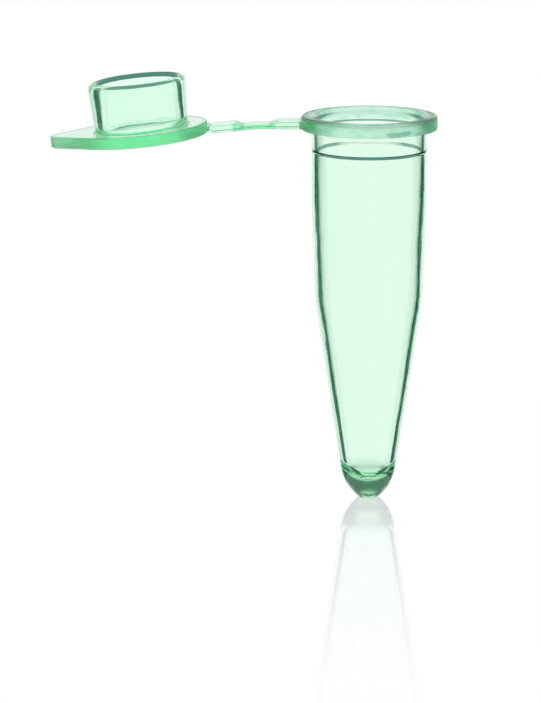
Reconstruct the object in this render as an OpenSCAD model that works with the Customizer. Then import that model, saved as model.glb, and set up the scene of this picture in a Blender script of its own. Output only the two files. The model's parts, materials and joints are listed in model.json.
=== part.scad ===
// Microcentrifuge tube with an attached snap lid, moulded in one shot and shown with its lid open.
// The origin is on the tube's axis, in the plane of the flange's underside where it seats in a rack.
// +Z runs up out of the mouth and the lid strap leaves towards -X.

/* [Mouth] */
// Radius of the flange around the mouth
flange_r = 6.4; // [6:0.05:7]
// Thickness of the flange
flange_t = 1.3; // [0.8:0.05:2]
// Radius of the bore that the lid's plug enters
mouth_bore_r = 5.0; // [4.9:0.01:5.1]
// Radial width of the lead-in chamfer at the rim
rim_chamfer_w = 0.4; // [0.1:0.05:0.6]
// Height of the lead-in chamfer at the rim
rim_chamfer_h = 0.4; // [0.2:0.05:0.6]
// Rounding of the flange's upper edge
flange_round = 0.3; // [0.1:0.05:0.5]
// Depth of the inner ledge below the flange's underside
ledge_depth = 1.9; // [1.2:0.1:3]
// Height of the sloping ledge
ledge_h = 0.35; // [0.2:0.05:0.6]

/* [Barrel] */
// Outer radius of the straight barrel
barrel_r = 5.42; // [5.3:0.01:5.6]
// Wall thickness of the barrel and the cone
wall_t = 0.6; // [0.45:0.05:0.8]
// Length of the straight barrel below the flange
straight_h = 7.1; // [5:0.1:9]
// Depth of the shoulder, where the barrel meets the cone
shoulder_depth = 16.5; // [15:0.1:18]
// Outer radius at the shoulder
shoulder_r = 5.07; // [4.9:0.01:5.2]
// Half of the height over which the shoulder is rounded
shoulder_blend = 0.8; // [0.2:0.1:1.5]

/* [Cone and tip] */
// Depth at which the cone turns into the rounded tip
tip_depth = 32.8; // [31:0.1:34]
// Outer radius at the top of the rounded tip
tip_r = 2.6; // [2.3:0.05:2.9]
// Depth of the tip's flat underside
bottom_depth = 35.7; // [35:0.1:37]
// Radius of the tip's flat underside
tip_flat_r = 0.92; // [0.6:0.02:1.2]
// Depth of the cavity's floor
cavity_depth = 33.8; // [33:0.1:34.4]
// Radius of the small moulding dimple under the tip
gate_r = 0.4; // [0.2:0.05:0.6]

/* [Lid] */
// Radius of the lid's disc
lid_r = 6.15; // [6:0.05:6.6]
// Thickness of the lid's disc
lid_t = 1.1; // [0.9:0.05:1.4]
// How far the thumb tab reaches past the disc
tab_reach = 2.48; // [1.5:0.02:3]
// Radius of the thumb tab's nose in plan
tab_nose_r = 1.8; // [1.2:0.1:2.4]
// Radius of the thumb tab's broad end in plan
tab_base_r = 4.75; // [3:0.05:4.8]
// Distance of the broad end's centre from the disc's centre
tab_base_x = 2.2; // [2.2:0.1:4.6]
// Height of the plug above the disc
plug_h = 4.55; // [3.6:0.05:4.55]
// Outer radius of the plug's skirt
plug_r = 4.38; // [4:0.01:4.4]
// Wall thickness of the plug's skirt
plug_wall = 0.65; // [0.4:0.05:0.9]
// Outer radius of the sealing bead around the skirt
bead_r = 4.57; // [4.45:0.01:4.57]
// Height of the sealing bead's crest above the disc
bead_pos = 3.6; // [2.8:0.1:3.6]
// How far below its crest the sealing bead starts to swell
bead_rise = 2.4; // [0.5:0.1:2.6]
// How far above its crest the sealing bead ends
bead_fall = 0.55; // [0.3:0.05:0.6]
// Gap between the closed lid and the rim
lid_gap = 0.03; // [0.02:0.01:0.1]

/* [Strap] */
// Distance from the tube's axis to the hinge line
hinge_reach = 10.72; // [10.5:0.02:11.2]
// How far the resting lid hangs below level, in degrees
lid_droop = 5.8; // [0:0.1:15]
// Width of the strap
strap_w = 2.6; // [2:0.1:3.6]
// Height of the strap's underside above the flange's underside
strap_z = 0.12; // [0:0.02:0.3]
// Thickness of the strap's two end blocks
block_t = 0.7; // [0.6:0.02:1]
// Thickness of the thin web that bends
web_t = 0.4; // [0.3:0.02:0.5]
// Length of the thin web
web_l = 2.2; // [1.8:0.1:2.6]
// Length of the slope from the tube's block down to the web
root_ramp_l = 1.4; // [0.4:0.1:1.8]
// Length of the slope from the lid's block down to the web
lid_ramp_l = 0.9; // [0.3:0.1:1.2]

/* [Hidden] */

$fn = 96;
arc_steps = 6;
web_steps = 12;
mint = [0.56, 0.93, 0.72];
pale_mint = [0.80, 0.96, 0.87];
deep_mint = [0.40, 0.80, 0.58];

hinge_x = -hinge_reach;
hinge_z = flange_t;
lid_x = 2 * hinge_x;
lid_z = flange_t - lid_gap;
reach = 2 * flange_r;
lid_base_round = 0.12;
lid_edge_round = 0.25;
flange_foot_round = 0.12;
gate_h = 0.12;
web_end_x = hinge_x - web_l / 2;
web_start_x = hinge_x + web_l / 2;

// The cone's slope, and the angle it makes with the axis
cone_slope = (shoulder_r - tip_r) / (tip_depth - shoulder_depth);
cone_angle = atan(cone_slope);
straight_end_z = -straight_h;

// The tip is an arc that leaves the cone smoothly and ends at the edge of the flat underside
tip_drop = bottom_depth - tip_depth;
tip_in = tip_r - tip_flat_r;
tip_arc_r = (tip_in * tip_in + tip_drop * tip_drop)
  / (2 * (tip_in * cos(cone_angle) - tip_drop * sin(cone_angle)));
tip_arc_x = tip_r - tip_arc_r * cos(cone_angle);
tip_arc_z = -tip_depth + tip_arc_r * sin(cone_angle);
tip_end_angle = atan2(-bottom_depth - tip_arc_z, tip_flat_r - tip_arc_x);

// The cavity's cone ends in a ball that touches it all round
inner_shoulder_r = shoulder_r - wall_t;
cavity_ball_r = cos(cone_angle)
  * (inner_shoulder_r - cone_slope * (cavity_depth - shoulder_depth))
  / (1 - sin(cone_angle));
cavity_ball_z = cavity_ball_r - cavity_depth;

// Points along an arc in the drawing plane, from angle a0 to angle a1
function arc(cx, cz, r, a0, a1, steps = arc_steps) =
  [for (i = [0:steps]) let (a = a0 + (a1 - a0) * i / steps) [cx + r * cos(a), cz + r * sin(a)]];

// Points along a smooth curve from a to c that heads for b at both ends
function bend(a, b, c, steps = arc_steps) =
  [for (i = [0:steps]) let (t = i / steps) (1 - t) * (1 - t) * a + 2 * t * (1 - t) * b + t * t * c];

// The barrel's and cone's side lines, at an outer or inner radius set in by inset
function barrel_point(z, inset) =
  [barrel_r - inset
    - (barrel_r - shoulder_r) * max(0, -z - straight_h) / (shoulder_depth - straight_h), z];
function cone_point(z, inset) = [shoulder_r - inset - cone_slope * (-z - shoulder_depth), z];
function shoulder(inset) = bend(
  barrel_point(-shoulder_depth + shoulder_blend, inset),
  [shoulder_r - inset, -shoulder_depth],
  cone_point(-shoulder_depth - shoulder_blend, inset)
);

function reversed(points) = [for (i = [len(points) - 1:-1:0]) points[i]];

// A point of the strap's side view, turned about the hinge line by a part of the droop
function drooped(x, z, part) =
  let (a = lid_droop * part, dx = x - hinge_x, dz = z - hinge_z)
  [hinge_x + dx * cos(a) - dz * sin(a), hinge_z + dx * sin(a) + dz * cos(a)];

// Half of the vessel's wall, from the rim to the tip and back up the cavity
module wall_section() {
  outside = concat(
    [[flange_r, flange_foot_round]],
    [[flange_r - flange_foot_round, 0]],
    [[barrel_r, 0]],
    [[barrel_r, straight_end_z]],
    shoulder(0),
    arc(tip_arc_x, tip_arc_z, tip_arc_r, -cone_angle, tip_end_angle),
    [[gate_r, -bottom_depth], [gate_r * 0.6, gate_h - bottom_depth], [0, gate_h - bottom_depth]]
  );
  inside = concat(
    arc(0, cavity_ball_z, cavity_ball_r, -90, -cone_angle, 2 * arc_steps),
    reversed(shoulder(wall_t)),
    [[barrel_r - wall_t, straight_end_z]],
    [[barrel_r - wall_t, -ledge_depth - ledge_h]],
    [[mouth_bore_r, -ledge_depth]],
    [[mouth_bore_r, flange_t - rim_chamfer_h]],
    [[mouth_bore_r + rim_chamfer_w, flange_t]]
  );
  rim_edge = arc(flange_r - flange_round, flange_t - flange_round, flange_round, 90, 0);
  polygon(concat(inside, rim_edge, outside));
}

// The stretch of the vessel's wall between two heights
module vessel_band(z_low, z_high) {
  rotate_extrude()
    intersection() {
      wall_section();
      translate([0, z_low]) square([reach, z_high - z_low]);
    }
}

module mouth_flange() {
  color(mint) vessel_band(0, flange_t);
}

module mouth_collar() {
  color(pale_mint) vessel_band(-ledge_depth, 0);
}

module barrel() {
  color(pale_mint) vessel_band(-shoulder_depth + shoulder_blend, -ledge_depth);
}

module cone() {
  color(pale_mint) vessel_band(-tip_depth, -shoulder_depth + shoulder_blend);
}

module tip() {
  color(deep_mint) vessel_band(-bottom_depth, -tip_depth);
}

// Extrudes a side view in X and Z across the strap's width
module across_strap() {
  translate([0, strap_w / 2, 0]) rotate([90, 0, 0]) linear_extrude(strap_w) children();
}

module strap_root() {
  color(mint)
    difference() {
      across_strap()
        polygon([
          [-flange_r + 1, strap_z],
          [web_start_x, strap_z],
          [web_start_x, strap_z + web_t],
          [web_start_x + root_ramp_l, strap_z + block_t],
          [-flange_r + 1, strap_z + block_t]
        ]);
      translate([0, 0, -flange_t]) cylinder(r = flange_r, h = 3 * flange_t);
    }
}

module hinge_web() {
  low = [
    for (i = [0:web_steps])
      let (t = i / web_steps) drooped(web_start_x - web_l * t, strap_z, t * t * (3 - 2 * t))
  ];
  high = [
    for (i = [web_steps:-1:0])
      let (t = i / web_steps)
        drooped(web_start_x - web_l * t, strap_z + web_t, t * t * (3 - 2 * t))
  ];
  color(mint) across_strap() polygon(concat(low, high));
}

// Places a lid part drawn level and open at its resting angle
module at_rest() {
  translate([hinge_x, 0, hinge_z])
    rotate([0, -lid_droop, 0])
      translate([-hinge_x, 0, -hinge_z])
        children();
}

module strap_lid_end() {
  color(mint)
    at_rest()
      difference() {
        across_strap()
          polygon([
            [lid_x + lid_r - 1, strap_z],
            [lid_x + lid_r - 1, strap_z + block_t],
            [web_end_x - lid_ramp_l, strap_z + block_t],
            [web_end_x, strap_z + web_t],
            [web_end_x, strap_z]
          ]);
        translate([lid_x, 0, -lid_t]) cylinder(r = lid_r, h = 3 * lid_t);
      }
}

module lid_disc() {
  color(mint)
    at_rest()
      translate([lid_x, 0, lid_z - lid_t])
        rotate_extrude()
          polygon(concat(
            [[0, 0]],
            arc(lid_r - lid_edge_round, lid_edge_round, lid_edge_round, -90, 0),
            arc(lid_r - lid_base_round, lid_t - lid_base_round, lid_base_round, 0, 90, 2),
            [[0, lid_t]]
          ));
}

module thumb_tab() {
  nose_x = lid_r + tab_reach - tab_nose_r;
  color(mint)
    at_rest()
      translate([lid_x, 0, lid_z - lid_t])
        difference() {
          linear_extrude(lid_t)
            hull() {
              translate([-nose_x, 0]) circle(r = tab_nose_r);
              translate([-tab_base_x, 0]) circle(r = tab_base_r);
            }
          translate([0, 0, -lid_t]) cylinder(r = lid_r, h = 3 * lid_t);
        }
}

module plug_skirt() {
  lip_r = plug_wall / 2;
  fillet = 0.3;
  color(pale_mint)
    at_rest()
      translate([lid_x, 0, lid_z])
        rotate_extrude()
          polygon(concat(
            [[plug_r - plug_wall - fillet, 0]],
            [[plug_r, 0]],
            arc(plug_r - lip_r, plug_h - lip_r, lip_r, 0, 180, 2 * arc_steps),
            arc(plug_r - plug_wall - fillet, fillet, fillet, 0, -90)
          ));
}

module sealing_bead() {
  bulge = bead_r - plug_r;
  rise_r = (bulge * bulge + bead_rise * bead_rise) / (2 * bulge);
  fall_r = (bulge * bulge + bead_fall * bead_fall) / (2 * bulge);
  color(deep_mint)
    at_rest()
      translate([lid_x, 0, lid_z + bead_pos])
        rotate_extrude()
          polygon(concat(
            arc(bead_r - rise_r, 0, rise_r, -asin(bead_rise / rise_r), 0),
            arc(bead_r - fall_r, 0, fall_r, 0, asin(bead_fall / fall_r))
          ));
}

mouth_flange();
mouth_collar();
barrel();
cone();
tip();
strap_root();
hinge_web();
strap_lid_end();
lid_disc();
thumb_tab();
plug_skirt();
sealing_bead();
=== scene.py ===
"""Looks of a microcentrifuge tube with its snap lid open: clear mint plastic on a pale floor.

The whole object is one moulding, so each skin here is one closed surface: the vessel with the root
of its strap, the lid with its end of the strap, and the thin web that bends between them.
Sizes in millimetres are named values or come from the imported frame. Meshes are built in the row
frame, +Z up the tube's axis, with the strap leaving towards -X.
"""
import json
import math

import bmesh
import bpy
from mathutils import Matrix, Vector, noise
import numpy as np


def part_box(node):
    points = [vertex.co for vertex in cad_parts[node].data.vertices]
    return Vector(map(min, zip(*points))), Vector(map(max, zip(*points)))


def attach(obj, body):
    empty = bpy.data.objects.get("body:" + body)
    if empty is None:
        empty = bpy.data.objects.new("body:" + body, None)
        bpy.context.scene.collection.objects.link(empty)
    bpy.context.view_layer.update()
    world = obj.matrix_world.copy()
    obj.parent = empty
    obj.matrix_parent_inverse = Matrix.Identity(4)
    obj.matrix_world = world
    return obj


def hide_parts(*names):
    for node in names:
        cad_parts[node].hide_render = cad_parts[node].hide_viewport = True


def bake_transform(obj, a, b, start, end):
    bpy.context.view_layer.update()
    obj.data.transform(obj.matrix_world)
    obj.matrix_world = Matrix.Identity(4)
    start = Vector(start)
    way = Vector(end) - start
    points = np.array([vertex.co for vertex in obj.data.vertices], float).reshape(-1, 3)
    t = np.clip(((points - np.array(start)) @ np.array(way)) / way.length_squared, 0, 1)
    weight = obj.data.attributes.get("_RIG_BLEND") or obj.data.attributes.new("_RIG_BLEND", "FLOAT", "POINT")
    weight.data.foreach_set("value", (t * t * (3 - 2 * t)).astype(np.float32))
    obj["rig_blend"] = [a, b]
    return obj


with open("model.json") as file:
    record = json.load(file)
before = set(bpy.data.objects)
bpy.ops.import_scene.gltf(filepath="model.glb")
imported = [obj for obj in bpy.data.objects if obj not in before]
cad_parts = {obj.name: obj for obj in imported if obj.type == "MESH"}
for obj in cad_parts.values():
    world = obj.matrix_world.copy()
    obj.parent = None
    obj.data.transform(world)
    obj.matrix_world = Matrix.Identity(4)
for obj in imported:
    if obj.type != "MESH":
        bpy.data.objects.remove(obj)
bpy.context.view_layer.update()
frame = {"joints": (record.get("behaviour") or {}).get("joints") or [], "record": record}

MM = 0.001

# ---------------------------------------------------------------- sizes, in millimetres


def box_mm(node):
    """Lowest and highest corner of a CAD node, in millimetres."""
    low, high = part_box(node)
    return low / MM, high / MM


FLANGE = box_mm("mouth_flange")
COLLAR = box_mm("mouth_collar")
BARREL = box_mm("barrel")
TIP = box_mm("tip")
MOUNTS = {mount["name"]: mount["dims"] for mount in frame["record"]["mounts"]}
HINGE = frame["joints"][0]["pos_m"]

FLANGE_R = FLANGE[1].x
RIM_Z = FLANGE[1].z
LEDGE_Z = COLLAR[0].z
BARREL_R = MOUNTS["rack_fit"]["r_mm"]
STRAIGHT_Z = -MOUNTS["rack_fit"]["length_mm"]
BORE_R = MOUNTS["mouth_bore"]["r_mm"]
TIP_Z = TIP[1].z
TIP_R = TIP[1].x
BOTTOM_Z = TIP[0].z
HINGE_X = HINGE[0] / MM
HINGE_Z = HINGE[2] / MM

# The vessel's wall, the shoulder where the barrel turns into the cone, and the tip
WALL_T = 0.53
SHOULDER_Z = BARREL[0].z - 0.8
SHOULDER_R = 5.07
SHOULDER_BLEND = 1.0
CAVITY_FLOOR_Z = BOTTOM_Z + 1.9
TIP_FLAT_R = 0.92
GATE_R = 0.5
GATE_H = 0.25
GATE_CORNER = (0.85, 0.22)

# The mouth: its rim with a lead-in chamfer, the flange's foot, and the ledge in the bore
RIM_CHAMFER = 0.4
RIM_ROUND = 0.3
FOOT_ROUND = 0.12
NECK_ROUND = 0.1
LEDGE_H = 0.27
LEDGE_LEAN = 0.02
GUARD = 0.03
# the chamfer's rounded ends: where its foot starts and ends, and where its head starts and ends
CHAMFER_FOOT = 0.08
CHAMFER_RISE = (0.12, 0.16)
CHAMFER_HEAD = (0.3, 0.1)
RIM_FLAT = 0.12

# The lid, drawn level and open, then turned down by its droop
LID_DROOP = math.radians(5.8)
LID_X = 2 * HINGE_X
LID_TOP = RIM_Z - 0.03
LID_T = 1.1
LID_R = 6.15
LID_TOP_ROUND = 0.1
LID_FOOT_ROUND = 0.2
TAB_NOSE_R = 1.8
TAB_NOSE_X = 6.83
TAB_BASE_R = 4.75
TAB_BASE_X = 2.2
TAB_BLEND = 0.5
# the outer band that keeps its section all round the outline
EDGE_BAND = 0.3

# The plug and the bead round it
PLUG_H = 4.55
PLUG_R = 4.38
PLUG_WALL = 0.65
PLUG_ROOT = 0.22
PLUG_ROOT_H = 0.3
PLUG_FOOT_R = PLUG_R + 0.2
PLUG_FLOOR_DIP = 0.06
PLUG_FLOOR_ROUND = 0.5
PLUG_CORNER_H = 0.4
BEAD_R = 4.6
BEAD_H = 3.8
# the bead's upper end under the lip (a share of its rise, and heights), its fullest part and its foot
BEAD_SHOULDER = 0.75
BEAD_SHOULDER_H = 0.04
BEAD_TOP_H = 0.1
BEAD_FULL_H = 0.25
BEAD_FOOT = (0.03, 0.5)
# the raised ring that the mould's gate left on the plug's floor, and a height above all of that floor
MARK_AT = (1.9, 1.4)
MARK_R = 0.45
MARK_WIDTH = 0.15
MARK_H = 0.06
MARK_TOP = 0.2

# The strap, with a thick block at each end and a thin web between
STRAP_HALF_W = 1.3
STRAP_Z = 0.12
BLOCK_T = 0.7
WEB_T = 0.4
WEB_HALF_L = 1.1
ROOT_RAMP_L = 1.4
LID_RAMP_L = 0.9
ROOT_SEAM_X = HINGE_X + 1.96
LID_SEAM_X = HINGE_X - 2.18
SEAM_GAP = 0.004
EDGE_ROUND = 0.1
# how it flares where it runs into a wall: distances from the wall, each with its share of the flare
FLARE = ((0.06, 0.7), (0.16, 0.35), (0.3, 0.1), (0.5, 0.0))
FLARE_CRISP = 0.6
FLARE_UP = 0.06
ROOT_FLARE_OUT = 0.14
ROOT_FLARE_LIFT = 0.02
LID_FLARE_OUT = 0.16
LID_FLARE_LIFT = 0.25

# How far apart the points of outlines and the strap's rings are, and the places round each lathe
VESSEL_STEP = 0.5
LID_STEP = 0.35
UNDERSIDE_STEP = 0.6
BLOCK_STEP = 0.2
LAST_STEP = 0.3
WEB_STEPS = 40
ROUND_VESSEL = 148
ROUND_LID = 180

# Places across and up a strap's section, from -1 to 1, close together at its rounded corners
COLUMNS = [-1, -0.975, -0.945, -0.9, -0.7, -0.4, 0, 0.4, 0.7, 0.9, 0.945, 0.975, 1]
ROWS = [-1, -0.9, -0.78, -0.6, -0.2, 0.2, 0.6, 0.78, 0.9, 1]

# Edges stay crisp where a surface turns by more than this, in degrees
CREASE = 38

# The unevenness of moulded walls, slow and quick, and how many waves of each a millimetre has
CORE_UNEVEN = (0.035, 0.006)
OUTSIDE_UNEVEN = (0.006, 0.002)
PLUG_UNEVEN = 0.03
SLOW_WAVES = 0.35
QUICK_WAVES = 1.3
PLUG_WAVES = 0.5
SLOW_STRETCH = 0.4
# where in the noise each surface starts
CORE_SEED = 3.0
OUTSIDE_SEED = 11.0
QUICK_SEED = 7.0
PLUG_SEED = 21.0
# how far off the axis the cores stood that formed the cavity and the plug's inside
CORE_SHIFT = 0.04
PLUG_CORE_SHIFT = 0.07
# a depth inside the wall that tells its two sides apart, and the radius round the axis that stays even
MID_WALL = 0.3
EVEN_R = 1.0

# ---------------------------------------------------------------- shares of finish and painted shade

# Every vertex holds three shares: how far it lines a hollow, is frosted, and is painted dark as shade
FINISHES = ("hollow", "frost", "deep")
# how strong the painted shade is that darkens the ledge, the lip, the tip and the rim
LEDGE_PAINTED_DARK = 1.0
LIP_PAINTED_DARK = 1.0
TIP_PAINTED_DARK = 0.4
RIM_PAINTED_DARK = 0.3
RIM_FROST = 0.45
TIP_FROST = 0.25
STRAP_FROST = 0.12
DISC_FROST = 0.1
# the solid tip's frost and painted shade fade in from above the cavity's floor, and out towards the
# underside
TIP_FADE_IN = 1.5
TIP_FADE_OUT = 1.6
# how far the rim's painted shade reaches round the lower end of the lead-in chamfer
CHAMFER_BAND = 0.1
# the lip's painted shade runs down its inner side; the disc is frosted round its side
LIP_BAND = 0.4
LIP_INSET = 0.02
SIDE_BAND = 0.12
UNDER_BAND = 0.15
# the last points of the inside's outline that belong to the rim
RIM_POINTS = 8
# the least share of the ledge's painted shade, at the back, and of the lip's, at the front
LEDGE_LEAST = 0.3
LIP_LEAST = 0.72
NEAR = 0.01

# ---------------------------------------------------------------- colours and light

# What a metre of the plastic takes out of red, green and blue
MINT = (150.0, 12.0, 95.0)
LID_MINT = (140.0, 3.0, 76.0)
STRAP_MINT = (420.0, 25.0, 230.0)
DENSITY_MARGIN = 1.05

CLEAR_TINT = (1, 1, 1, 1)
SKIN_TINT = (0.934, 0.996, 0.955, 1)
HOLLOW_TINT = (0.88, 1.0, 0.93, 1)
FROST_TINT = (0.75, 0.955, 0.885, 1)
STREAK_TINT = (0.42, 0.83, 0.69, 1)
LID_FROST_TINT = (1.0, 1.0, 1.0, 1)
LID_STREAK_TINT = (0.9, 1.0, 0.95, 1)
# painted shade for glancing looks at the edges
GLANCE_SHADE_TINT = (0.03, 0.17, 0.11, 1)
# painted shade for the dark lines at the ledge, lip, rim and tip
PAINTED_DARK_TINT = (0.003, 0.05, 0.034, 1)
FLOW_TINT = (0.06, 0.26, 0.24, 1)

# How glancing a look is where the painted edge shade starts and where it is full, outside and in a hollow.
# The painted dark lines start it sooner, and frost keeps most of it away.
EDGE_START = (0.75, 0.66)
EDGE_END = (1.05, 0.88)
PAINTED_DARK_START = -2.0
PAINTED_DARK_END = -2.1
FROST_FROM = 0.4
FROST_EDGE = 0.1

# Two noises, each with its scale and detail: a cloud, and patches that are flattened
CLOUD = (600.0, 2.0)
PATCH = (650.0, 3.0)
PATCH_FLATTER = (1.0, 1.0, 4.0)
STREAKS = (0.46, 0.64)

# The flow mark on the rim, where two fronts of melt met: its place in metres, how sharp it is each way,
# and its ragged edge
FLOW_MARK = (0.0027, -0.0058, 0.00035)
FLOW_MARK_SHARPNESS = (500.0, 500.0, 2600.0)
FLOW_RAGGED = 2.4
FLOW_EDGE = (1.7, 2.1)
FLOW_MOST = 0.9

# The plastic's gloss: frosted places are rough, clear ones nearly smooth, and the cloud varies both
PLASTIC_IOR = 1.49
WALL_ROUGH = 0.42
LID_ROUGH = 0.5
CLEAR_ROUGH = 0.03
CLEAR_CLOUD = (0.4, 0.7)
FROST_CLOUD = (0.3, 0.7)
FROST_SPREAD = (0.7, 1.3)
BUMP_CLOUD = 0.25
BUMP_STRENGTH = (0.01, 0.25)
BUMP_DISTANCE = 0.00025

# The floor, in metres, with a polish that dies away from the tube's foot
FLOOR_SIZE = 3.0
FLOOR_GAP = 0.00002
FLOOR_POLISH = (0.36, 0.05)
POLISH_REACH = (0.002, 0.055)
SHEEN_ROUGH = 0.06

# The studio's two screens and its ceiling. A pair of values is where an edge starts to fade and where
# it ends: for the screens' sides an angle from the far side, else how steeply a direction points up.
WHITE = (1.0, 1.0, 1.0, 1)
SCREEN_COLOUR = (0.004, 0.1, 0.058, 1)
SCREEN_NEAR = (math.radians(28), math.radians(33))
SCREEN_FAR = (math.radians(54), math.radians(62))
SCREEN_WIDER = math.radians(14)
SCREEN_TOP = (0.46, 0.56)
CEILING_COLOUR = (0.05, 0.3, 0.18, 1)
CEILING_EDGE = (0.46, 0.62)

# The camera, in metres. The lens and the sensor are in millimetres.
CAMERA_DISTANCE = 0.300
CAMERA_ELEVATION = math.radians(8.503)
CAMERA_PITCH = math.radians(12.745)
CAMERA_X = -5.575 * MM
CAMERA_LENS = 212.2
CAMERA_SENSOR = 36.0
CAMERA_SHIFT = -0.073
CAMERA_CLIP = 0.01

# ---------------------------------------------------------------- curves in the drawing plane


def arc(cx, cz, r, start, end, steps):
    """Points on an arc, angles in degrees."""
    angles = [math.radians(start + (end - start) * i / steps) for i in range(steps + 1)]
    return [(cx + r * math.cos(a), cz + r * math.sin(a)) for a in angles]


def bend(a, b, c, steps):
    """Points on a smooth curve from a to c that heads for b at both ends."""
    points = []
    for i in range(steps + 1):
        t = i / steps
        p, q, r = (1 - t) ** 2, 2 * t * (1 - t), t * t
        points.append((p * a[0] + q * b[0] + r * c[0], p * a[1] + q * b[1] + r * c[1]))
    return points


def resampled(points, longest):
    """The same outline with every stretch cut to at most the longest length."""
    result = [points[0]]
    for (x0, z0), (x1, z1) in zip(points, points[1:]):
        length = math.hypot(x1 - x0, z1 - z0)
        if length < 1e-6:
            continue
        parts = max(1, math.ceil(length / longest))
        for i in range(1, parts + 1):
            result.append((x0 + (x1 - x0) * i / parts, z0 + (z1 - z0) * i / parts))
    return result


def smoothstep(t):
    """0 below 0, 1 above 1, and smooth between."""
    t = min(1.0, max(0.0, t))
    return t * t * (3 - 2 * t)


# ---------------------------------------------------------------- meshes


def rounded_loop(columns, rows):
    """Places round a rectangle's edge, from -1 to 1 across and up, anticlockwise from the lower left."""
    bottom = [(u, -1.0) for u in columns]
    right = [(1.0, v) for v in rows[1:]]
    top = [(u, 1.0) for u in reversed(columns[:-1])]
    left = [(-1.0, v) for v in reversed(rows[1:-1])]
    return bottom + right + top + left


def round_corner(u, v, half_w, half_t, radius):
    """Moves a place on a rectangle's edge onto the same rectangle with rounded corners."""
    y, z = u * half_w, v * half_t
    from_side, from_end = half_w - abs(y), half_t - abs(z)
    if max(from_side, from_end) >= radius or radius <= 0:
        return y, z
    middle = math.radians(45)
    if from_side < from_end:
        angle = middle * (1 - from_end / radius)
    else:
        angle = 2 * middle - middle * (1 - from_side / radius)
    cy, cz = half_w - radius, half_t - radius
    y = math.copysign(cy + radius * math.cos(angle), y)
    z = math.copysign(cz + radius * math.sin(angle), z)
    return y, z


def new_bmesh():
    """An empty mesh whose vertices hold a share of each finish."""
    bm = bmesh.new()
    for finish in FINISHES:
        bm.verts.layers.float.new(finish)
    return bm


def vertex(bm, co, shares):
    """A vertex with its share of each finish: lining a hollow, frosted, and painted dark as shade."""
    v = bm.verts.new(co)
    for finish, share in zip(FINISHES, shares):
        v[bm.verts.layers.float[finish]] = share
    return v


def strap_ring(bm, x, low, high, half_w, radius, place):
    """One cross-section of the strap, a loop of vertices in the order of rounded_loop."""
    mid, half_t = (low + high) / 2, (high - low) / 2
    ring = []
    for u, v in rounded_loop(COLUMNS, ROWS):
        y, z = round_corner(u, v, half_w, half_t, radius)
        ring.append(vertex(bm, place(x, y, mid + z), (0.0, STRAP_FROST, 0.0)))
    return ring


def level_ring(bm, x, place):
    """The strap's own cross-section at x."""
    return strap_ring(bm, x, STRAP_Z, strap_top(x), STRAP_HALF_W, EDGE_ROUND, place)


def join_rings(bm, a, b):
    """A band of faces between two loops with the same number of vertices."""
    for i in range(len(a)):
        j = (i + 1) % len(a)
        bm.faces.new((a[i], a[j], b[j], b[i]))


def lathe(bm, profile, angles, place, marks, paler):
    """Turns an outline that starts and ends on the axis. Returns a row of vertices per outline point.

    A point's painted shade is as dark as its mark says, times the share paler(angle, height)."""
    grid = []
    for (r, z), (hollow, frost, deep) in zip(profile, marks):
        if r < 1e-6:
            row = [vertex(bm, place(0.0, 0.0, z), (hollow, frost, deep))] * len(angles)
        else:
            row = []
            for a in angles:
                co = place(r * math.cos(a), r * math.sin(a), z)
                row.append(vertex(bm, co, (hollow, frost, deep * paler(a, z))))
        grid.append(row)
    return grid


def skin_grid(bm, grid, hole):
    """Faces between the rows of a lathe's grid, leaving out a block of cells given as (rows, columns)."""
    count = len(grid[0])
    for k in range(len(grid) - 1):
        for j in range(count):
            if k in hole[0] and j in hole[1]:
                continue
            n = (j + 1) % count
            corners = [grid[k][j], grid[k][n], grid[k + 1][n], grid[k + 1][j]]
            unique = [v for i, v in enumerate(corners) if v not in corners[:i]]
            if len(unique) > 2:
                bm.faces.new(unique)


def angles_with_patch(centre, half_w, radius, rest):
    """Angles round a lathe whose first ones lie where a strap of that half width leaves it."""
    patch = [centre + math.asin(u * half_w / radius) for u in COLUMNS]
    start, span = patch[-1], 2 * math.pi - (patch[-1] - patch[0])
    return patch + [start + span * i / rest for i in range(1, rest)]


def strap_hole(first):
    """The cells of a lathe's grid that the strap takes the place of, from its first row."""
    return range(first, first + len(ROWS) - 1), range(0, len(COLUMNS) - 1)


def hole_loop(grid, first, columns):
    """Vertices round that hole in the order of rounded_loop. The columns go from -Y to +Y."""
    last = first + len(ROWS) - 1
    loop = [grid[last][j] for j in columns]
    loop += [grid[last - i][columns[-1]] for i in range(1, len(ROWS))]
    loop += [grid[first][j] for j in reversed(columns[:-1])]
    loop += [grid[first + i][columns[0]] for i in range(1, len(ROWS) - 1)]
    return loop


def grow_block(bm, loop, wall_x, seam_x, out, lift, place):
    """The strap's thick block, from a loop of vertices in a wall to its seam with the web."""
    away = math.copysign(1, seam_x - wall_x)
    rings = [loop]
    for depth, flare in FLARE:
        low, high = STRAP_Z + lift * flare, STRAP_Z + BLOCK_T + FLARE_UP * flare
        rings.append(strap_ring(bm, wall_x + away * depth, low, high, STRAP_HALF_W + out * flare,
                                EDGE_ROUND * (1 - FLARE_CRISP * flare), place))
    x = wall_x + away * FLARE[-1][0]
    while abs(seam_x - x) > LAST_STEP:
        x += BLOCK_STEP * away
        rings.append(level_ring(bm, x, place))
    rings.append(level_ring(bm, seam_x, place))
    for a, b in zip(rings, rings[1:]):
        join_rings(bm, a, b)
    bm.faces.new(rings[-1])


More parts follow.
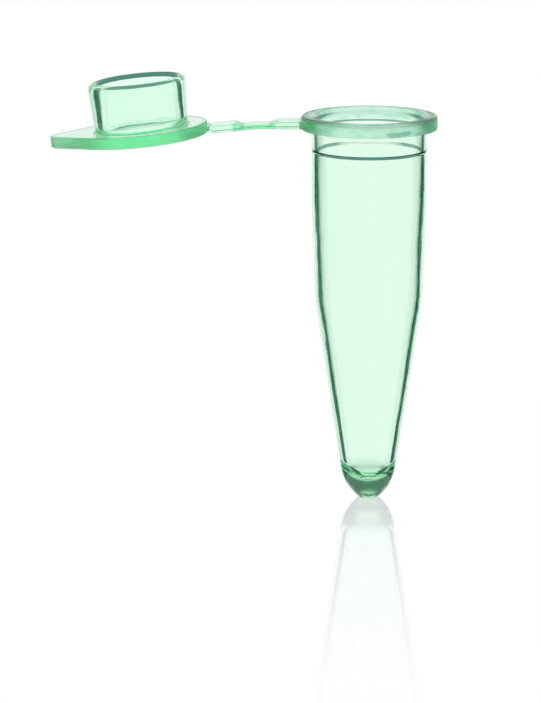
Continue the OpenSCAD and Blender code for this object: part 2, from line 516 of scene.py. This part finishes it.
def finish_mesh(name, bm, crease=None):
    """A shaded object from a bmesh, with its normals outwards.

    Edges stay crisp where the surface turns by more than the crease, in degrees."""
    bmesh.ops.recalc_face_normals(bm, faces=bm.faces)
    mesh = bpy.data.meshes.new(name)
    bm.to_mesh(mesh)
    bm.free()
    mesh.shade_smooth()
    obj = bpy.data.objects.new(name, mesh)
    bpy.context.scene.collection.objects.link(obj)
    if crease:
        mesh.set_sharp_from_angle(angle=math.radians(crease))
    return obj


def wobble(x, y, z, strength, waves, seed):
    """A slow, even unevenness, as moulded walls have."""
    return strength * noise.noise(Vector((x * waves, y * waves, z * waves + seed)))


def one_sided(least, side):
    """A share that falls from 1 to the least one as side goes from 1 to -1."""
    return least + (1 - least) * smoothstep(0.5 + 1.2 * side)


def plain(x, y, z):
    """A drawn point, in metres."""
    return x * MM, y * MM, z * MM


# ---------------------------------------------------------------- the strap


def strap_top(x):
    """Height of the strap's upper side, drawn level: a block at each end, ramps and a thin web."""
    thin, thick = STRAP_Z + WEB_T, STRAP_Z + BLOCK_T
    root = smoothstep((x - (HINGE_X + WEB_HALF_L)) / ROOT_RAMP_L)
    lid = smoothstep(((HINGE_X - WEB_HALF_L) - x) / LID_RAMP_L)
    return thin + (thick - thin) * max(root, lid)


def drooped(x, y, z, part=1.0):
    """A drawn point turned about the hinge line by a part of the lid's droop, in metres."""
    a = -LID_DROOP * part
    dx, dz = x - HINGE_X, z - HINGE_Z
    new_x = HINGE_X + dx * math.cos(a) + dz * math.sin(a)
    new_z = HINGE_Z - dx * math.sin(a) + dz * math.cos(a)
    return plain(new_x, y, new_z)


def bent(x, y, z):
    """A drawn point of the web, which takes up the droop from one seam to the other."""
    return drooped(x, y, z, smoothstep((ROOT_SEAM_X - x) / (ROOT_SEAM_X - LID_SEAM_X)))


def make_hinge_web():
    """The thin web between the two blocks, with a closed skin of its own."""
    bm = new_bmesh()
    start, length = ROOT_SEAM_X - SEAM_GAP, ROOT_SEAM_X - LID_SEAM_X - 2 * SEAM_GAP
    rings = [level_ring(bm, start - length * i / WEB_STEPS, bent) for i in range(WEB_STEPS + 1)]
    for a, b in zip(rings, rings[1:]):
        join_rings(bm, a, b)
    bm.faces.new(rings[0])
    bm.faces.new(rings[-1])
    return finish_mesh("hinge_web_skin", bm, CREASE)


# ---------------------------------------------------------------- the vessel


def cone_r(z, inset):
    """Radius of the cone at a height, inset by a wall."""
    slope = (SHOULDER_R - TIP_R) / (SHOULDER_Z - TIP_Z)
    return SHOULDER_R - inset - slope * (SHOULDER_Z - z)


def barrel_r(z, inset):
    """Radius of the barrel at a height, inset by a wall: straight at the top, then tapered."""
    fall = (BARREL_R - SHOULDER_R) * max(0.0, STRAIGHT_Z - z) / (STRAIGHT_Z - SHOULDER_Z)
    return BARREL_R - inset - fall


def shoulder(inset):
    """The smooth turn from the barrel into the cone."""
    top, low = SHOULDER_Z + SHOULDER_BLEND, SHOULDER_Z - SHOULDER_BLEND
    corner = (SHOULDER_R - inset, SHOULDER_Z)
    return bend((barrel_r(top, inset), top), corner, (cone_r(low, inset), low), 10)


def inside_outline(lean):
    """From the cavity's floor up the inside to the rim's flat top. lean is the cone's angle."""
    # the ball at the cavity's floor touches the cavity's cone all round
    floor_r = SHOULDER_R - WALL_T - math.tan(lean) * (SHOULDER_Z - CAVITY_FLOOR_Z)
    ball = math.cos(lean) * floor_r / (1 - math.sin(lean))
    wall_r = BARREL_R - WALL_T
    ledge_low = LEDGE_Z - LEDGE_H
    points = arc(0, CAVITY_FLOOR_Z + ball, ball, -90, -math.degrees(lean), 24)
    points += list(reversed(shoulder(WALL_T)))
    # a guard point each side of the ledge keeps its painted shade from running into the walls
    points += [(wall_r, STRAIGHT_Z), (wall_r, ledge_low - GUARD), (wall_r, ledge_low)]
    points += bend((wall_r, ledge_low), (wall_r + LEDGE_LEAN, LEDGE_Z), (BORE_R, LEDGE_Z), 5)[1:]
    # the lead-in chamfer, with a rounded corner at each end
    low, out = RIM_Z - RIM_CHAMFER, BORE_R + RIM_CHAMFER
    foot = (BORE_R, low - CHAMFER_FOOT)
    points += [(BORE_R, LEDGE_Z + GUARD), foot]
    points += bend(foot, (BORE_R, low), (BORE_R + CHAMFER_RISE[0], low + CHAMFER_RISE[1]), 3)[1:]
    head = (BORE_R + CHAMFER_HEAD[0], RIM_Z - CHAMFER_HEAD[1])
    points += bend(head, (out, RIM_Z), (out + RIM_FLAT, RIM_Z), 3)
    return points


def outside_outline(lean):
    """From the flange's foot down the outside and under the tip, with the gate's dimple."""
    foot = arc(FLANGE_R - FOOT_ROUND, FOOT_ROUND, FOOT_ROUND, 0, -90, 4)
    neck_r = BARREL_R + NECK_ROUND
    neck = [(neck_r, 0.0)] + bend((neck_r, 0), (BARREL_R, 0), (BARREL_R, -NECK_ROUND), 3)[1:]
    # the tip is an arc that leaves the cone smoothly and ends at its flat underside
    drop, inward = TIP_Z - BOTTOM_Z, TIP_R - TIP_FLAT_R
    radius = (inward**2 + drop**2) / (2 * (inward * math.cos(lean) - drop * math.sin(lean)))
    cx, cz = TIP_R - radius * math.cos(lean), TIP_Z + radius * math.sin(lean)
    end = math.degrees(math.atan2(BOTTOM_Z - cz, TIP_FLAT_R - cx))
    body = [(BARREL_R, STRAIGHT_Z)] + shoulder(0) + arc(cx, cz, radius, -math.degrees(lean), end, 20)
    corner = (GATE_R * GATE_CORNER[0], BOTTOM_Z + GATE_CORNER[1])
    gate = bend((GATE_R, BOTTOM_Z), corner, (0.0, BOTTOM_Z + GATE_H), 6)
    return foot + neck + body + gate


def tube_mark(r, z, k, rim):
    """Shares of finish and painted shade for point k of the vessel's outline. Point rim is the first on the
    rim's top.
    """
    inside, outside = k < rim, k > rim
    hollow = 1.0 if k < rim - RIM_POINTS else 0.0
    solid = smoothstep((CAVITY_FLOOR_Z + TIP_FADE_IN - z) / TIP_FADE_IN) if outside else 0.0
    solid *= smoothstep((z - BOTTOM_Z) / TIP_FADE_OUT)
    frost = 1.0 if outside and r > BARREL_R + NECK_ROUND / 2 else TIP_FROST * solid
    if not outside and z > RIM_Z - RIM_CHAMFER:
        frost = RIM_FROST
    deep = TIP_PAINTED_DARK * solid
    if inside and LEDGE_Z - LEDGE_H - NEAR < z < LEDGE_Z + NEAR:
        deep = LEDGE_PAINTED_DARK
    if outside and z > RIM_Z - RIM_ROUND - NEAR:
        deep = RIM_PAINTED_DARK
    if inside and abs(z - RIM_Z + RIM_CHAMFER) < CHAMFER_BAND:
        deep = RIM_PAINTED_DARK
    return hollow, frost, deep


def in_cavity(r, z):
    """Whether a point of the vessel is on the cavity's wall under the ledge."""
    if z > SHOULDER_Z:
        return r < barrel_r(z, MID_WALL) and z < LEDGE_Z
    return r < cone_r(z, MID_WALL)


def uneven_wall(x, y, z):
    """A point of the vessel with the unevenness of a moulding, and the cavity's core off the axis."""
    r = math.hypot(x, y)
    if z > RIM_Z - NEAR or r > BARREL_R + NECK_ROUND / 2 or r < EVEN_R:
        return plain(x, y, z)
    inner = in_cavity(r, z)
    slow, quick = CORE_UNEVEN if inner else OUTSIDE_UNEVEN
    dr = wobble(x, y, z * SLOW_STRETCH, slow, SLOW_WAVES, CORE_SEED if inner else OUTSIDE_SEED)
    dr += wobble(x, y, z, quick, QUICK_WAVES, QUICK_SEED)
    shift = CORE_SHIFT if inner else 0.0
    return plain(x + x / r * dr + shift, y + y / r * dr, z)


def ledge_paler(angle, z):
    """The ledge's painted dark line is strongest at the front."""
    return one_sided(LEDGE_LEAST, -math.sin(angle)) if STRAIGHT_Z < z < 0 else 1.0


def make_tube_shell():
    """The vessel and the strap's root as one closed skin."""
    lean = math.atan((SHOULDER_R - TIP_R) / (SHOULDER_Z - TIP_Z))
    half_w = STRAP_HALF_W + ROOT_FLARE_OUT
    low, high = STRAP_Z + ROOT_FLARE_LIFT, STRAP_Z + BLOCK_T + FLARE_UP
    mid, half_t = (low + high) / 2, (high - low) / 2
    profile = resampled(inside_outline(lean), VESSEL_STEP)
    rim = len(profile) - 1
    profile += arc(FLANGE_R - RIM_ROUND, RIM_Z - RIM_ROUND, RIM_ROUND, 90, 0, 8)
    first = len(profile)
    profile += [(FLANGE_R, mid - v * half_t) for v in ROWS]
    profile += resampled(outside_outline(lean), VESSEL_STEP)
    marks = [tube_mark(r, z, k, rim) for k, (r, z) in enumerate(profile)]
    bm = new_bmesh()
    angles = angles_with_patch(math.pi, half_w, FLANGE_R, ROUND_VESSEL)
    grid = lathe(bm, profile, angles, uneven_wall, marks, ledge_paler)
    skin_grid(bm, grid, strap_hole(first))
    loop = hole_loop(grid, first, list(reversed(range(len(COLUMNS)))))
    grow_block(bm, loop, -FLANGE_R, ROOT_SEAM_X, ROOT_FLARE_OUT, ROOT_FLARE_LIFT, plain)
    return finish_mesh("tube_shell", bm, CREASE)


# ---------------------------------------------------------------- the lid


def tab_gap(x, y):
    """How far a place is outside the tab: the hull of its nose circle and its broad end."""
    gap = TAB_NOSE_X - TAB_BASE_X
    s = (TAB_BASE_R - TAB_NOSE_R) / gap
    c = math.sqrt(1 - s * s)
    px = x - TAB_BASE_X
    along = px * c - y * s
    if along < 0:
        return math.hypot(px, y) - TAB_BASE_R
    if along > gap * c:
        return math.hypot(px - gap, y) - TAB_NOSE_R
    return px * s + y * c - TAB_BASE_R


def lid_edge_r(angle):
    """Radius of the lid's outline from above: a disc, run smoothly into a tab away from the strap."""
    ux, uy = math.cos(angle), math.sin(angle)

    def outside_by(t):
        x, y = -ux * t, abs(uy * t)
        disc = math.hypot(x, y) - LID_R
        tab = tab_gap(x, y)
        h = min(1.0, max(0.0, 0.5 + 0.5 * (tab - disc) / TAB_BLEND))
        return tab * (1 - h) + disc * h - TAB_BLEND * h * (1 - h)

    near, far = LID_R - 1, TAB_NOSE_X + TAB_NOSE_R + 1
    for _ in range(40):
        mid = (near + far) / 2
        near, far = (mid, far) if outside_by(mid) < 0 else (near, mid)
    return near


def gate_mark(x, y):
    """A small raised ring on the plug's floor where the mould was filled."""
    d = math.hypot(x - MARK_AT[0], y - MARK_AT[1])
    return MARK_H * math.exp(-((d - MARK_R) / MARK_WIDTH) ** 2)


def plug_outline():
    """From the middle of the plug's floor up its inside, over the lip and down its outside."""
    inner_r, lip = PLUG_R - PLUG_WALL, PLUG_WALL / 2
    floor_r, floor_z = inner_r - PLUG_FLOOR_ROUND, LID_TOP - PLUG_FLOOR_DIP
    plug_top, bead_z = LID_TOP + PLUG_H, LID_TOP + BEAD_H
    points = [(0.0, floor_z), (floor_r, floor_z)]
    points += bend((floor_r, floor_z), (inner_r, LID_TOP), (inner_r, LID_TOP + PLUG_CORNER_H), 6)[1:]
    # a guard point keeps the lip's painted shade from running down the wall
    band = plug_top - LIP_BAND
    points += [(inner_r, band - GUARD), (inner_r, band + NEAR), (inner_r, plug_top - lip)]
    points += arc(PLUG_R - lip, plug_top - lip, lip, 180, 8, 14)[1:]
    shoulder_top = (PLUG_R + (BEAD_R - PLUG_R) * BEAD_SHOULDER, plug_top - lip + BEAD_SHOULDER_H)
    points += bend(shoulder_top, (BEAD_R, bead_z + BEAD_TOP_H), (BEAD_R, bead_z), 5)
    foot = (BEAD_R - BEAD_FOOT[0], bead_z - BEAD_FOOT[1])
    points += bend((BEAD_R, bead_z), (BEAD_R, bead_z - BEAD_FULL_H), foot, 4)[1:]
    root = (PLUG_R, LID_TOP + PLUG_ROOT_H)
    points += [root] + bend(root, (PLUG_R, LID_TOP), (PLUG_R + PLUG_ROOT, LID_TOP), 5)[1:]
    return points


def lid_mark(r, z, upper):
    """Shares of finish for a point of the lid's outline: a smooth plug, a frosted side, and painted shade
    inside the lip.
    """
    hollow = 1.0 if r < PLUG_R - PLUG_WALL + NEAR and z > LID_TOP + PLUG_ROOT_H else 0.0
    frost = DISC_FROST if upper and r > PLUG_FOOT_R else 0.0
    if r > LID_R - SIDE_BAND and z < LID_TOP:
        frost = 1.0
    if not upper and r < LID_R - UNDER_BAND:
        frost = DISC_FROST
    inner_lip = r < PLUG_R - PLUG_WALL / 2 - LIP_INSET
    deep = LIP_PAINTED_DARK if inner_lip and z > LID_TOP + PLUG_H - LIP_BAND else 0.0
    return hollow, frost, deep


def lid_point(x, y, z):
    """A point of the round lid moved to the outline with its tab, uneven at the plug, and drooped."""
    r = math.hypot(x, y)
    if z < LID_TOP + NEAR / 10 and r > PLUG_FOOT_R:
        edge = lid_edge_r(math.atan2(y, x))
        start, band = PLUG_R + PLUG_ROOT, LID_R - EDGE_BAND
        new_r = edge - (LID_R - r)
        if r <= band:
            new_r = start + (r - start) * (edge - EDGE_BAND - start) / (band - start)
        x, y = x * new_r / r, y * new_r / r
    if z > LID_TOP + PLUG_ROOT_H:
        dr = wobble(x, y, z, PLUG_UNEVEN, PLUG_WAVES, PLUG_SEED)
        x, y = x + x / r * dr, y + y / r * dr
        if r < PLUG_R - PLUG_WALL / 2:
            x += PLUG_CORE_SHIFT
    if r < PLUG_R - PLUG_WALL and z < LID_TOP + MARK_TOP:
        z += gate_mark(x, y)
    return drooped(LID_X + x, y, z)


def lip_paler(angle, z):
    """The lip's painted dark line is strongest at the back."""
    return one_sided(LIP_LEAST, math.sin(angle))


def make_lid_shell():
    """Disc, tab, plug and the strap's lid end as one closed skin."""
    half_w = STRAP_HALF_W + LID_FLARE_OUT
    foot_z = LID_TOP - LID_T + LID_FOOT_ROUND
    low, high = foot_z, STRAP_Z + BLOCK_T + FLARE_UP
    mid, half_t = (low + high) / 2, (high - low) / 2
    edge_r = LID_R - LID_TOP_ROUND
    upper = [(PLUG_R + PLUG_ROOT, LID_TOP), (edge_r, LID_TOP)]
    upper += arc(edge_r, LID_TOP - LID_TOP_ROUND, LID_TOP_ROUND, 90, 0, 4)[1:]
    under = arc(LID_R - LID_FOOT_ROUND, foot_z, LID_FOOT_ROUND, 0, -90, 5)[1:]
    under += [(0.0, LID_TOP - LID_T)]
    profile = resampled(plug_outline(), LID_STEP) + resampled(upper, LID_STEP)[1:]
    first = len(profile)
    profile += [(LID_R, mid - v * half_t) for v in ROWS]
    profile += resampled(under, UNDERSIDE_STEP)
    marks = [lid_mark(r, z, k < len(profile) // 2) for k, (r, z) in enumerate(profile)]
    bm = new_bmesh()
    angles = angles_with_patch(0.0, half_w, LID_R, ROUND_LID)
    grid = lathe(bm, profile, angles, lid_point, marks, lip_paler)
    skin_grid(bm, grid, strap_hole(first))
    loop = hole_loop(grid, first, list(range(len(COLUMNS))))
    grow_block(bm, loop, LID_X + LID_R, LID_SEAM_X, LID_FLARE_OUT, LID_FLARE_LIFT, drooped)
    return finish_mesh("lid_shell", bm, CREASE)


# ---------------------------------------------------------------- nodes


def empty_nodes(owner):
    """The same material or world, with an empty node tree."""
    owner.use_nodes = True
    owner.node_tree.nodes.clear()
    return owner


def add_node(owner, kind, inputs=None, **settings):
    """A new node with its settings and the values or links of its inputs."""
    node = owner.node_tree.nodes.new(kind)
    for key, value in settings.items():
        setattr(node, key, value)
    for key, value in (inputs or {}).items():
        if isinstance(value, bpy.types.NodeSocket):
            owner.node_tree.links.new(value, node.inputs[key])
        else:
            node.inputs[key].default_value = value
    return node


def maths(owner, operation, *values):
    """The result of a sum on numbers."""
    return add_node(owner, "ShaderNodeMath", dict(enumerate(values)), operation=operation).outputs[0]


def vector_maths(owner, operation, *values):
    """The outputs of a sum on vectors."""
    return add_node(owner, "ShaderNodeVectorMath", dict(enumerate(values)), operation=operation).outputs


def mixed_colour(owner, factor, a, b):
    """Colour a where the factor is 0, and b where it is 1."""
    return add_node(owner, "ShaderNodeMix", {0: factor, 6: a, 7: b}, data_type="RGBA").outputs[2]


def mapped(owner, value, low, high, new_low, new_high, smooth=False):
    """A value turned from one range into another, and held at its ends."""
    kind = "SMOOTHSTEP" if smooth else "LINEAR"
    inputs = {"Value": value, "From Min": low, "From Max": high, "To Min": new_low, "To Max": new_high}
    return add_node(owner, "ShaderNodeMapRange", inputs, interpolation_type=kind).outputs["Result"]


def noise_of(owner, place, scale, detail):
    """A noise over places in the object."""
    inputs = {"Vector": place, "Scale": scale, "Detail": detail}
    return add_node(owner, "ShaderNodeTexNoise", inputs).outputs["Fac"]


# ---------------------------------------------------------------- materials


def flow_mark(mat, place, patch):
    """How strong the flow mark is at a place."""
    away = vector_maths(mat, "SUBTRACT", place, FLOW_MARK)[0]
    away = vector_maths(mat, "MULTIPLY", away, FLOW_MARK_SHARPNESS)[0]
    away = vector_maths(mat, "LENGTH", away)["Value"]
    ragged = maths(mat, "MULTIPLY_ADD", patch, FLOW_RAGGED, away)
    return mapped(mat, ragged, *FLOW_EDGE, FLOW_MOST, 0.0, smooth=True)


def painted_glance_shade(mat, hollow, frost, deep):
    """How much painted shade darkens a glancing look, standing in for the dark edges of light turned back
    inside the wall.
    """
    facing = add_node(mat, "ShaderNodeLayerWeight").outputs["Facing"]
    start = mapped(mat, hollow, 0.0, 1.0, *EDGE_START)
    start = maths(mat, "MULTIPLY_ADD", deep, PAINTED_DARK_START, start)
    end = mapped(mat, hollow, 0.0, 1.0, *EDGE_END)
    end = maths(mat, "MULTIPLY_ADD", deep, PAINTED_DARK_END, end)
    most = mapped(mat, frost, FROST_FROM, 1.0, 1.0, FROST_EDGE)
    return mapped(mat, facing, start, end, 0.0, most, smooth=True)


def clear_plastic(name, absorb, frost_rough, clear_tint, hollow_tint, frost_tint, streak_tint):
    """Clear tinted plastic. absorb is what a metre takes out of red, green and blue."""
    mat = empty_nodes(bpy.data.materials.new(name))
    shares = [add_node(mat, "ShaderNodeAttribute", attribute_name=finish) for finish in FINISHES]
    hollow, frost, deep = (share.outputs["Fac"] for share in shares)
    place = add_node(mat, "ShaderNodeTexCoord").outputs["Object"]
    cloud = noise_of(mat, place, *CLOUD)
    flatter = add_node(mat, "ShaderNodeMapping", {"Vector": place, "Scale": PATCH_FLATTER})
    patch = noise_of(mat, flatter.outputs["Vector"], *PATCH)

    streaks = mapped(mat, patch, *STREAKS, 0.0, 1.0, smooth=True)
    skin = mixed_colour(mat, streaks, frost_tint, streak_tint)
    skin = mixed_colour(mat, flow_mark(mat, place, patch), skin, FLOW_TINT)
    colour = mixed_colour(mat, hollow, clear_tint, hollow_tint)
    colour = mixed_colour(mat, frost, colour, skin)
    # painted shade: glancing looks darken towards the silhouettes
    colour = mixed_colour(mat, painted_glance_shade(mat, hollow, frost, deep), colour, GLANCE_SHADE_TINT)
    # painted shade: the marked dark lines at the ledge, lip, rim and tip
    colour = mixed_colour(mat, deep, colour, PAINTED_DARK_TINT)

    clear = mapped(mat, cloud, *CLEAR_CLOUD, 0.0, CLEAR_ROUGH)
    least, most = frost_rough * FROST_SPREAD[0], frost_rough * FROST_SPREAD[1]
    frosted = mapped(mat, cloud, *FROST_CLOUD, least, most)
    roughness = add_node(mat, "ShaderNodeMix", {0: frost, 2: clear, 3: frosted}).outputs[0]
    bump = add_node(mat, "ShaderNodeBump", {
        "Height": maths(mat, "MULTIPLY_ADD", cloud, BUMP_CLOUD, patch),
        "Strength": mapped(mat, frost, 0.0, 1.0, *BUMP_STRENGTH),
        "Distance": BUMP_DISTANCE})
    bsdf = add_node(mat, "ShaderNodeBsdfPrincipled", {
        "Base Color": colour, "Roughness": roughness, "Normal": bump.outputs["Normal"],
        "Transmission Weight": 1.0, "IOR": PLASTIC_IOR})
    # density times one minus the colour is the share lost per metre
    density = max(absorb) * DENSITY_MARGIN
    tint = tuple(1 - a / density for a in absorb) + (1,)
    volume = add_node(mat, "ShaderNodeVolumeAbsorption", {"Density": density, "Color": tint})
    outputs = {"Surface": bsdf.outputs["BSDF"], "Volume": volume.outputs["Volume"]}
    add_node(mat, "ShaderNodeOutputMaterial", outputs)
    return mat


def wall_plastic(name, absorb):
    """The plastic of the vessel or the strap."""
    return clear_plastic(name, absorb, WALL_ROUGH, SKIN_TINT, SKIN_TINT, FROST_TINT, STREAK_TINT)


def floor_material():
    """A pale, evenly lit sheet with a soft polish, seen only by the camera so that it shades nothing."""
    mat = empty_nodes(bpy.data.materials.new("pale_floor"))
    place = add_node(mat, "ShaderNodeTexCoord").outputs["Object"]
    reach = vector_maths(mat, "LENGTH", place)["Value"]
    polish = mapped(mat, reach, *POLISH_REACH, *FLOOR_POLISH)
    glow = add_node(mat, "ShaderNodeEmission", {"Color": WHITE, "Strength": 1.0})
    sheen = add_node(mat, "ShaderNodeBsdfGlossy", {"Color": WHITE, "Roughness": SHEEN_ROUGH})
    lit = add_node(mat, "ShaderNodeMixShader", {0: polish, 1: glow.outputs[0], 2: sheen.outputs[0]})
    seen = add_node(mat, "ShaderNodeLightPath").outputs["Is Camera Ray"]
    gone = add_node(mat, "ShaderNodeBsdfTransparent")
    either = add_node(mat, "ShaderNodeMixShader", {0: seen, 1: gone.outputs[0], 2: lit.outputs[0]})
    add_node(mat, "ShaderNodeOutputMaterial", {"Surface": either.outputs[0]})
    return mat


# ---------------------------------------------------------------- floor, light and camera


def make_floor():
    """The flat sheet that the tube stands on."""
    bm = bmesh.new()
    half = FLOOR_SIZE / 2
    corners = [(-half, -half, 0), (half, -half, 0), (half, half, 0), (-half, half, 0)]
    bm.faces.new([bm.verts.new(corner) for corner in corners])
    obj = finish_mesh("floor", bm)
    obj.location.z = BOTTOM_Z * MM - FLOOR_GAP
    obj.data.materials.append(floor_material())
    return obj


def make_world():
    """A bright studio with a dark screen standing to each side and a dark ceiling.

    They are seen only by light that has been inside the plastic and was mirrored by it and, below the
    horizon, by light that its outside mirrors. The camera and all other light see plain white."""
    world = empty_nodes(bpy.data.worlds.new("studio"))
    bpy.context.scene.world = world
    way = add_node(world, "ShaderNodeTexCoord").outputs["Generated"]
    axes = add_node(world, "ShaderNodeSeparateXYZ", {"Vector": way}).outputs
    paths = add_node(world, "ShaderNodeLightPath").outputs
    around = maths(world, "ABSOLUTE", maths(world, "ARCTAN2", axes["X"], axes["Y"]))
    height = maths(world, "ABSOLUTE", axes["Z"])

    below = maths(world, "LESS_THAN", axes["Z"], 0.0)
    inside = maths(world, "ADD", paths["Transmission Depth"], below)
    mirrored = maths(world, "MULTIPLY", paths["Glossy Depth"], inside)
    turned_back = maths(world, "GREATER_THAN", mirrored, 0.5)

    # the screens are wider for light that was never inside the plastic
    outside = maths(world, "LESS_THAN", paths["Transmission Depth"], 0.5)
    far_start = maths(world, "MULTIPLY_ADD", outside, SCREEN_WIDER, SCREEN_FAR[0])
    far_end = maths(world, "MULTIPLY_ADD", outside, SCREEN_WIDER, SCREEN_FAR[1])
    near_side = mapped(world, around, *SCREEN_NEAR, 0.0, 1.0, smooth=True)
    far_side = mapped(world, around, far_start, far_end, 1.0, 0.0, smooth=True)
    low = mapped(world, height, *SCREEN_TOP, 1.0, 0.0, smooth=True)
    screen = maths(world, "MULTIPLY", maths(world, "MULTIPLY", near_side, far_side), low)
    screen = maths(world, "MULTIPLY", screen, turned_back)
    ceiling = mapped(world, axes["Z"], *CEILING_EDGE, 0.0, 1.0, smooth=True)
    ceiling = maths(world, "MULTIPLY", ceiling, turned_back)

    shade = mixed_colour(world, ceiling, WHITE, CEILING_COLOUR)
    shade = mixed_colour(world, screen, shade, SCREEN_COLOUR)
    sky = mixed_colour(world, paths["Is Camera Ray"], shade, WHITE)
    background = add_node(world, "ShaderNodeBackground", {"Color": sky, "Strength": 1.0})
    add_node(world, "ShaderNodeOutputWorld", {"Surface": background.outputs["Background"]})


def make_camera():
    """The photograph's camera: a long lens in front of the tube, a little above its rim."""
    camera = bpy.data.objects.new("camera", bpy.data.cameras.new("camera"))
    camera.data.lens = CAMERA_LENS
    camera.data.sensor_width = CAMERA_SENSOR
    camera.data.sensor_fit = "HORIZONTAL"
    camera.data.shift_x = CAMERA_SHIFT
    camera.data.clip_start = CAMERA_CLIP
    back = CAMERA_DISTANCE * math.cos(CAMERA_ELEVATION)
    up = CAMERA_DISTANCE * math.sin(CAMERA_ELEVATION)
    camera.location = (CAMERA_X, -back, RIM_Z * MM + up)
    camera.rotation_euler = (math.pi / 2 - CAMERA_PITCH, 0, 0)
    bpy.context.scene.collection.objects.link(camera)
    bpy.context.scene.camera = camera


# ---------------------------------------------------------------- the pieces

tube_shell = make_tube_shell()
lid_shell = make_lid_shell()
hinge_web = make_hinge_web()

lid_plastic = clear_plastic("clear_mint_lid_plastic", LID_MINT, LID_ROUGH,
                            CLEAR_TINT, HOLLOW_TINT, LID_FROST_TINT, LID_STREAK_TINT)
tube_shell.data.materials.append(wall_plastic("clear_mint_plastic", MINT))
lid_shell.data.materials.append(lid_plastic)
hinge_web.data.materials.append(wall_plastic("mint_strap_plastic", STRAP_MINT))

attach(tube_shell, "tube")
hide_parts("mouth_flange", "mouth_collar", "barrel", "cone", "tip", "strap_root")
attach(lid_shell, "lid")
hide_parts("lid_disc", "thumb_tab", "plug_skirt", "sealing_bead", "strap_lid_end")
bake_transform(hinge_web, "tube", "lid",
         start=(ROOT_SEAM_X * MM, 0, STRAP_Z * MM), end=(LID_SEAM_X * MM, 0, STRAP_Z * MM))
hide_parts("hinge_web")

# ---------------------------------------------------------------- the scene

floor = make_floor()
make_world()
make_camera()
bpy.context.scene.view_settings.view_transform = "Standard"

# light turns many corners inside clear plastic before it leaves
bpy.context.scene.cycles.max_bounces = 24
bpy.context.scene.cycles.glossy_bounces = 16
bpy.context.scene.cycles.transmission_bounces = 24
